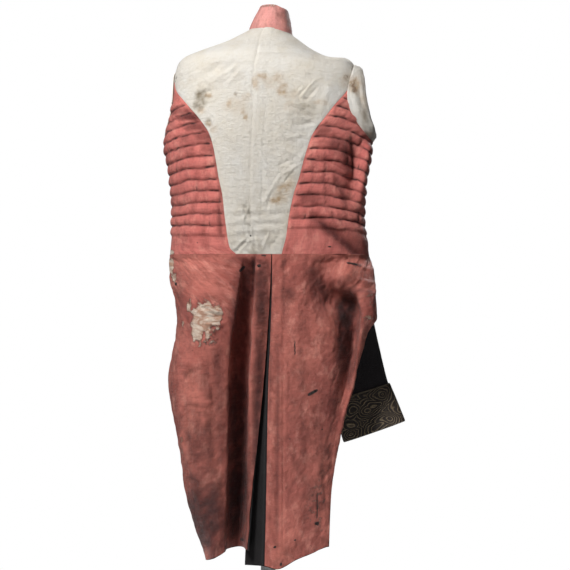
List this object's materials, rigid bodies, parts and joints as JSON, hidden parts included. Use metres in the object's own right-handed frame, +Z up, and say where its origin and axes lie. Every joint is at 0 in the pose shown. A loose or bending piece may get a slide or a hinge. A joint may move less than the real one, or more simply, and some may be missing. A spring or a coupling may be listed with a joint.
{
  "type": "tailcoat turned inside out on a dress form stand",
  "caption": "Old tailcoat shown inside out on a slim form: linen back, quilted rose silk sides, silk-lined wool tails, dark sleeves hanging inside with embroidered cuffs.",
  "frame": {"origin": "centre of the underside of the stand's base", "axes": "+Z up along the pole; the coat's back faces -Y; +X is to the right as seen from behind the coat"},
  "size_m": [0.4672, 0.33, 1.178],
  "materials": {
    "back_linen": "worn plain-weave linen",
    "side_silk": "quilted rose silk taffeta",
    "tail_silk": "worn rose silk taffeta",
    "collar_silk": "creased rose silk taffeta",
    "coat_wool": "fulled dark wool",
    "sleeve_linen": "plain-weave linen",
    "cuff_embroidery": "dark wool with bronze thread",
    "form_cover": "plain canvas",
    "stand_steel": "satin"
  },
  "bodies": {
    "root": {"back_lining_left": "back_linen", "back_shell_left": "coat_wool", "front_lining_left": "side_silk", "front_shell_left": "coat_wool", "skirt_lining_left": "tail_silk", "skirt_shell_left": "coat_wool", "sleeve_left": "coat_wool", "sleeve_lining_left": "sleeve_linen", "cuff_left": "cuff_embroidery", "back_lining_right": "back_linen", "back_shell_right": "coat_wool", "front_lining_right": "side_silk", "front_shell_right": "coat_wool", "skirt_lining_right": "tail_silk", "skirt_shell_right": "coat_wool", "sleeve_right": "coat_wool", "sleeve_lining_right": "sleeve_linen", "cuff_right": "cuff_embroidery", "collar_lining": "collar_silk", "collar_shell": "coat_wool", "form": "form_cover", "pole": "stand_steel", "base": "stand_steel"}
  },
  "joints": []
}
